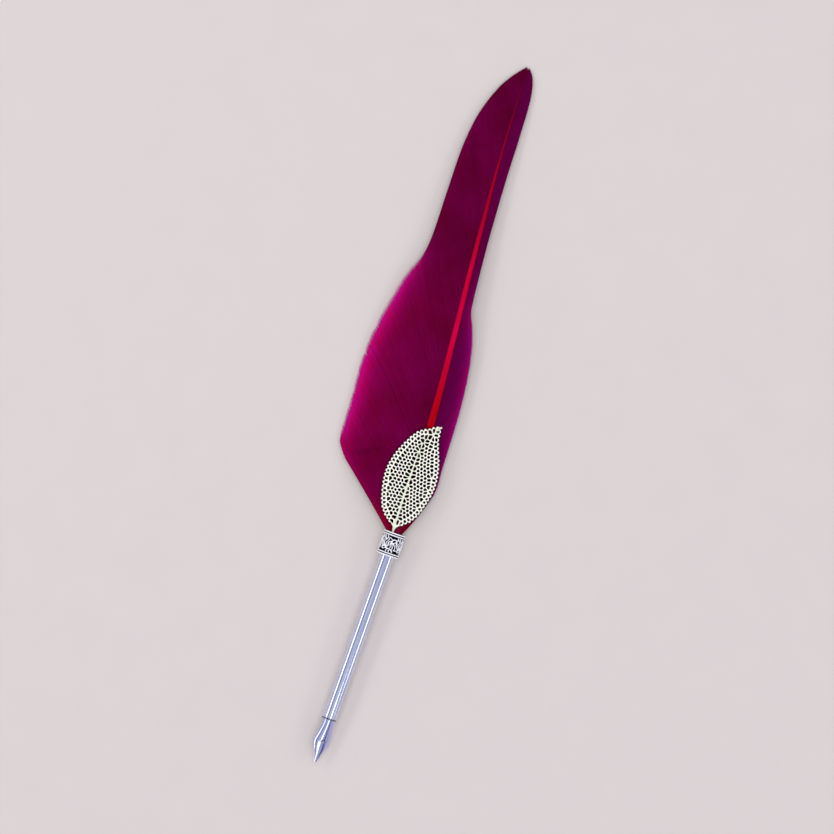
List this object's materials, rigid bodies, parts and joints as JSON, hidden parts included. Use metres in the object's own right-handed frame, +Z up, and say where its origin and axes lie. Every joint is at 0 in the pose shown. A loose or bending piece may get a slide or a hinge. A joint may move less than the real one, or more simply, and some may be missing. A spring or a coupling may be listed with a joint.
{
  "type": "goose feather dip pen",
  "caption": "Dyed goose feather made up as a dip pen, with a filigree leaf, a scrollwork collar, a plain metal barrel and a steel nib, lying down.",
  "frame": {"origin": "on the table under the middle of the whole pen as it lies", "axes": "+Y along the pen from the nib to the feather's tip, +X to the right across it, +Z up from the table"},
  "size_m": [0.0435, 0.2822, 0.0091],
  "materials": {
    "feather": "burgundy dyed goose feather with a red shaft",
    "leaf": "pale gold plated, pierced",
    "collar": "antique silver casting with blackened recesses",
    "barrel": "polished",
    "nib": "bright steel"
  },
  "bodies": {
    "root": {"feather": "feather", "leaf": "leaf", "collar": "collar", "barrel": "barrel", "nib": "nib"}
  },
  "joints": []
}
